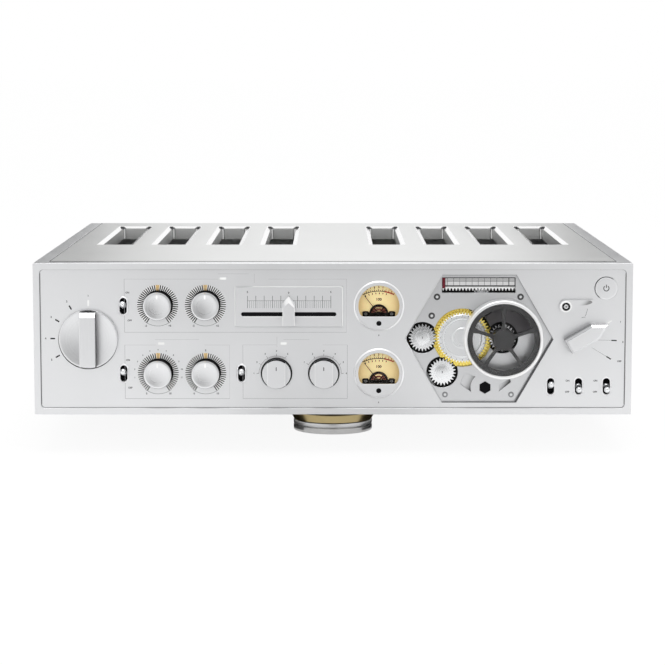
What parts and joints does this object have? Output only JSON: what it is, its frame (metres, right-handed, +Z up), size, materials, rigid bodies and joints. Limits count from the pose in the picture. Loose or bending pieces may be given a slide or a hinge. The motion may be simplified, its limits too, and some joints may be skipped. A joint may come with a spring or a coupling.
{
  "type": "integrated amplifier",
  "caption": "Low silver stereo amplifier on disc feet, with rotary controls, toggles, level meters, a balance slider and a volume dial that drives an exposed gear train and rack.",
  "frame": {"origin": "centre of the bounding box in X and Y, on the surface that the three feet stand on", "axes": "+X to the right seen from the front, -Y towards the front with the controls, +Z up"},
  "size_m": [0.466, 0.4616, 0.149],
  "materials": {
    "satin_aluminium": "fine satin, bead blasted and anodised",
    "top_aluminium": "fine satin, bead blasted and anodised",
    "bright_steel": "polished",
    "gilt_brass": "polished and gilt",
    "dark_frame": "satin dark grey",
    "black_aluminium": "black anodised",
    "black_plastic": "fine grain",
    "needle_black": "matt",
    "meter_face": "warm lit card",
    "clear_glass": "clear",
    "white_scale": "satin white",
    "pointer_red": "gloss",
    "winding": "varnished tape",
    "board": "lacquered"
  },
  "bodies": {
    "chassis": {"front_panel": "satin_aluminium", "top_cover": "top_aluminium", "side_panel_left": "satin_aluminium", "side_panel_right": "satin_aluminium", "bottom_plate": "satin_aluminium", "rear_panel": "satin_aluminium", "foot_front": "bright_steel", "foot_ring_front": "gilt_brass", "foot_rear_left": "bright_steel", "foot_ring_rear_left": "gilt_brass", "foot_rear_right": "bright_steel", "foot_ring_rear_right": "gilt_brass", "heat_sink_left": "black_aluminium", "heat_sink_right": "black_aluminium", "transformer": "winding", "circuit_board": "board", "meter_bezel_upper": "satin_aluminium", "meter_dial_upper": "meter_face", "meter_glass_upper": "clear_glass", "meter_bezel_lower": "satin_aluminium", "meter_dial_lower": "meter_face", "meter_glass_lower": "clear_glass", "balance_plate": "satin_aluminium", "gear_plate": "satin_aluminium", "gear_bridge": "dark_frame", "scale_strip": "white_scale", "power_inlet": "black_plastic", "input_jacks": "gilt_brass", "speaker_posts": "gilt_brass"},
    "source_selector": {"source_knob": "satin_aluminium"},
    "bass_control": {"bass_knob": "satin_aluminium"},
    "treble_control": {"treble_knob": "satin_aluminium"},
    "filter_control": {"filter_knob": "satin_aluminium"},
    "gain_control": {"gain_knob": "satin_aluminium"},
    "load_selector": {"load_knob": "satin_aluminium"},
    "capacitance_selector": {"capacitance_knob": "satin_aluminium"},
    "balance_slider": {"balance_cap": "satin_aluminium"},
    "volume_control": {"volume_dial": "bright_steel", "dial_spider": "dark_frame", "dial_glass": "clear_glass", "dial_pinion": "bright_steel"},
    "main_gear": {"main_gear_disc": "bright_steel", "main_gear_ring": "gilt_brass", "main_gear_rear": "gilt_brass"},
    "idler_left": {"idler_gear_left": "bright_steel"},
    "idler_lower": {"idler_gear_lower": "bright_steel"},
    "rack_drive": {"rack_pinion": "bright_steel"},
    "volume_scale_rack": {"volume_rack": "white_scale", "volume_pointer": "pointer_red"},
    "toggle_tone_lever": {"toggle_tone": "bright_steel"},
    "toggle_crossover_lever": {"toggle_crossover": "bright_steel"},
    "toggle_input_lever": {"toggle_input": "bright_steel"},
    "toggle_function_left_lever": {"toggle_function_left": "bright_steel"},
    "toggle_function_middle_lever": {"toggle_function_middle": "bright_steel"},
    "toggle_function_right_lever": {"toggle_function_right": "bright_steel"},
    "direct_switch": {"direct_lever": "satin_aluminium"},
    "power_switch": {"power_button": "satin_aluminium"},
    "speaker_selector": {"speaker_lever": "satin_aluminium"},
    "needle_upper": {"meter_needle_upper": "needle_black"},
    "needle_lower": {"meter_needle_lower": "needle_black"}
  },
  "joints": [
    {"name": "source_turn", "type": "hinge", "parent": "chassis", "child": "source_selector", "pos_m": [-0.1903, -0.21585, 0.09], "axis": [0, 1, 0], "range_deg": [-120, 0]},
    {"name": "bass_turn", "type": "hinge", "parent": "chassis", "child": "bass_control", "pos_m": [-0.1363, -0.21585, 0.116], "axis": [0, 1, 0], "range_deg": [-150, 150]},
    {"name": "treble_turn", "type": "hinge", "parent": "chassis", "child": "treble_control", "pos_m": [-0.0992, -0.21585, 0.116], "axis": [0, 1, 0], "range_deg": [-150, 150]},
    {"name": "filter_turn", "type": "hinge", "parent": "chassis", "child": "filter_control", "pos_m": [-0.1363, -0.21585, 0.0626], "axis": [0, 1, 0], "range_deg": [-150, 150]},
    {"name": "gain_turn", "type": "hinge", "parent": "chassis", "child": "gain_control", "pos_m": [-0.0992, -0.21585, 0.0626], "axis": [0, 1, 0], "range_deg": [-150, 150]},
    {"name": "load_turn", "type": "hinge", "parent": "chassis", "child": "load_selector", "pos_m": [-0.044, -0.21585, 0.0626], "axis": [0, 1, 0], "range_deg": [-90, 30]},
    {"name": "capacitance_turn", "type": "hinge", "parent": "chassis", "child": "capacitance_selector", "pos_m": [-0.0071, -0.21585, 0.0626], "axis": [0, 1, 0], "range_deg": [-60, 90]},
    {"name": "balance_slide", "type": "slide", "parent": "chassis", "child": "balance_slider", "axis": [1, 0, 0], "range_m": [-0.032, 0.032]},
    {"name": "volume_turn", "type": "hinge", "parent": "chassis", "child": "volume_control", "pos_m": [0.13216, -0.21585, 0.0904], "axis": [0, 1, 0], "range_deg": [0, 310]},
    {"name": "main_gear_turn", "type": "hinge", "parent": "chassis", "child": "main_gear", "pos_m": [0.101, -0.21585, 0.0904], "axis": [0, 1, 0], "range_deg": [-144, 0]},
    {"name": "idler_left_turn", "type": "hinge", "parent": "chassis", "child": "idler_left", "pos_m": [0.06984, -0.21585, 0.0904], "axis": [0, 1, 0], "range_deg": [0, 311]},
    {"name": "idler_lower_turn", "type": "hinge", "parent": "chassis", "child": "idler_lower", "pos_m": [0.08542, -0.21585, 0.06341], "axis": [0, 1, 0], "range_deg": [0, 311]},
    {"name": "rack_pinion_turn", "type": "hinge", "parent": "chassis", "child": "rack_drive", "pos_m": [0.11573, -0.21585, 0.11786], "axis": [0, 1, 0], "range_deg": [0, 311]},
    {"name": "rack_slide", "type": "slide", "parent": "chassis", "child": "volume_scale_rack", "axis": [1, 0, 0], "range_m": [0, 0.0535]},
    {"name": "toggle_tone_flip", "type": "hinge", "parent": "chassis", "child": "toggle_tone_lever", "pos_m": [-0.1632, -0.21305, 0.1154], "axis": [1, 0, 0], "range_deg": [0, 28]},
    {"name": "toggle_crossover_flip", "type": "hinge", "parent": "chassis", "child": "toggle_crossover_lever", "pos_m": [-0.1632, -0.21305, 0.0625], "axis": [1, 0, 0], "range_deg": [0, 28]},
    {"name": "toggle_input_flip", "type": "hinge", "parent": "chassis", "child": "toggle_input_lever", "pos_m": [-0.0713, -0.21305, 0.0625], "axis": [1, 0, 0], "range_deg": [0, 28]},
    {"name": "toggle_function_left_flip", "type": "hinge", "parent": "chassis", "child": "toggle_function_left_lever", "pos_m": [0.1701, -0.21305, 0.0524], "axis": [1, 0, 0], "range_deg": [0, 28]},
    {"name": "toggle_function_middle_flip", "type": "hinge", "parent": "chassis", "child": "toggle_function_middle_lever", "pos_m": [0.19185, -0.21305, 0.0524], "axis": [1, 0, 0], "range_deg": [-28, 0]},
    {"name": "toggle_function_right_flip", "type": "hinge", "parent": "chassis", "child": "toggle_function_right_lever", "pos_m": [0.2136, -0.21305, 0.0524], "axis": [1, 0, 0], "range_deg": [-28, 0]},
    {"name": "direct_turn", "type": "hinge", "parent": "chassis", "child": "direct_switch", "pos_m": [0.181, -0.21585, 0.1154], "axis": [0, 1, 0], "range_deg": [0, 28]},
    {"name": "power_press", "type": "slide", "parent": "chassis", "child": "power_switch", "axis": [0, 1, 0], "range_m": [0, 0.0015], "stiffness_N_per_m": 300},
    {"name": "speaker_turn", "type": "hinge", "parent": "chassis", "child": "speaker_selector", "pos_m": [0.1916, -0.21585, 0.0892], "axis": [0, 1, 0], "range_deg": [-30, 60]},
    {"name": "needle_upper_swing", "type": "hinge", "parent": "chassis", "child": "needle_upper", "pos_m": [0.0358, -0.21265, 0.1089], "axis": [0, 1, 0], "range_deg": [0, 76], "stiffness_Nm_per_rad": 0.0005},
    {"name": "needle_lower_swing", "type": "hinge", "parent": "chassis", "child": "needle_lower", "pos_m": [0.0358, -0.21265, 0.056], "axis": [0, 1, 0], "range_deg": [0, 76], "stiffness_Nm_per_rad": 0.0005}
  ],
  "couplings": [
    {"joint": "main_gear_turn", "follows": "volume_turn", "ratio": -0.46154},
    {"joint": "idler_left_turn", "follows": "volume_turn", "ratio": 1},
    {"joint": "idler_lower_turn", "follows": "volume_turn", "ratio": 1},
    {"joint": "rack_pinion_turn", "follows": "volume_turn", "ratio": 1},
    {"joint": "rack_slide", "follows": "volume_turn", "m_per_rad": 0.00984}
  ]
}
